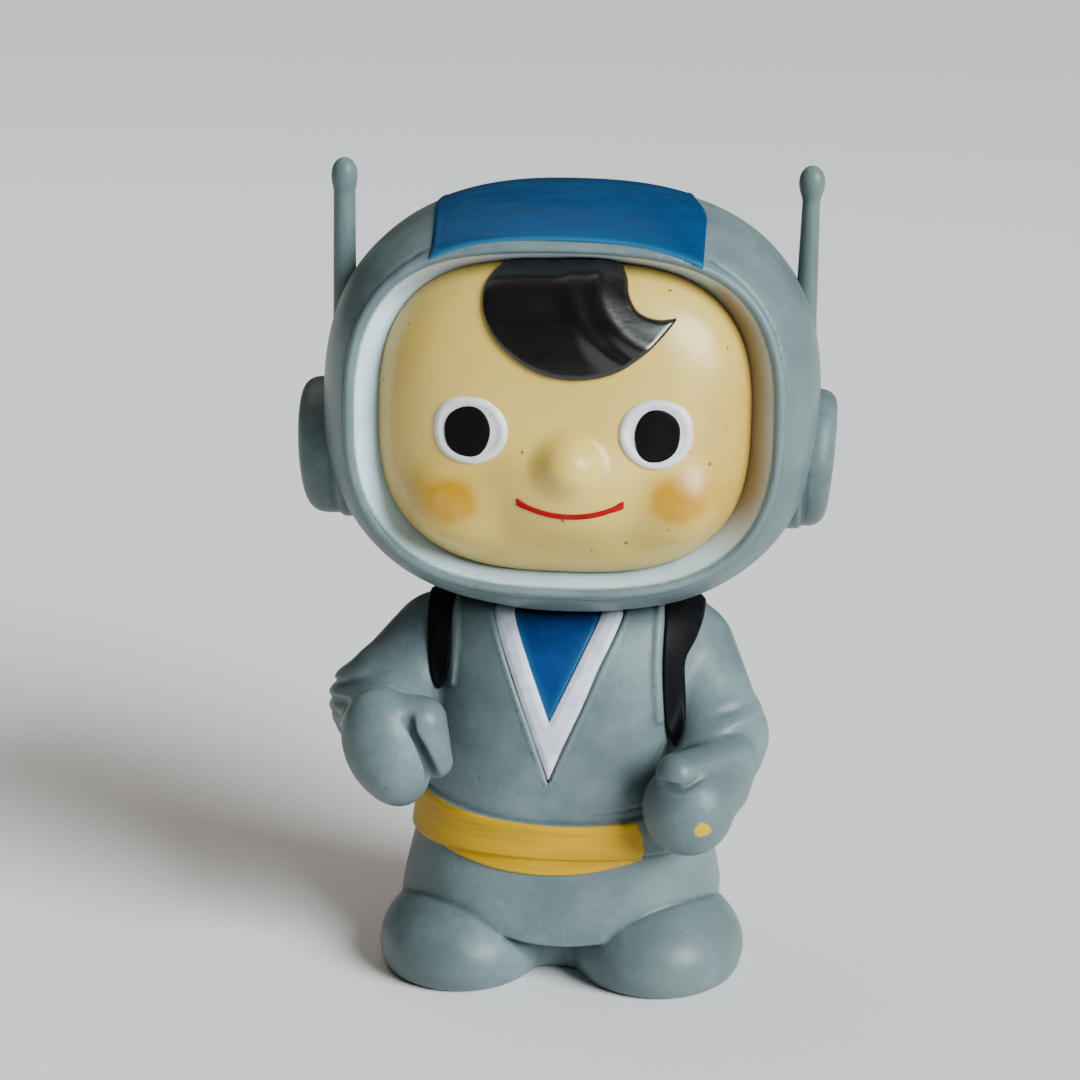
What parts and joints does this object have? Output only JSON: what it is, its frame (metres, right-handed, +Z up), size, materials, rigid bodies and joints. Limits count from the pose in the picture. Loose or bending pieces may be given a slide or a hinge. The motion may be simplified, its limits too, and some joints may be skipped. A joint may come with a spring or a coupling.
{
  "type": "action figure",
  "caption": "Standing child astronaut figure in hollow soft vinyl with a large helmeted head on a snap-in neck.",
  "frame": {"origin": "on the ground under the neck's turning axis", "axes": "+Z up, the figure faces -Y, +X is the figure's own left"},
  "size_m": [0.1042, 0.0844, 0.1576],
  "materials": {
    "suit_vinyl": "satin",
    "ear_vinyl": "satin",
    "face_vinyl": "satin",
    "eye_paint": "gloss",
    "black_paint": "gloss",
    "blue_paint": "satin",
    "yellow_paint": "satin",
    "collar_paint": "satin",
    "mouth_paint": "satin"
  },
  "bodies": {
    "body": {"body_shell": "suit_vinyl", "collar_band": "collar_paint", "undershirt": "blue_paint", "belt": "yellow_paint", "right_strap": "black_paint", "left_strap": "black_paint", "back_pack": "suit_vinyl"},
    "head": {"helmet_shell": "suit_vinyl", "face_shell": "face_vinyl", "crown_panel": "blue_paint", "hair_forelock": "black_paint", "mouth_line": "mouth_paint", "right_ear_cup": "ear_vinyl", "left_ear_cup": "ear_vinyl", "right_antenna": "ear_vinyl", "left_antenna": "ear_vinyl", "right_eye": "eye_paint", "left_eye": "eye_paint", "right_pupil": "black_paint", "left_pupil": "black_paint"}
  },
  "joints": [
    {"name": "neck_swivel", "type": "hinge", "parent": "body", "child": "head", "pos_m": [0, 0, 0.075], "axis": [0, 0, 1], "continuous": true}
  ]
}
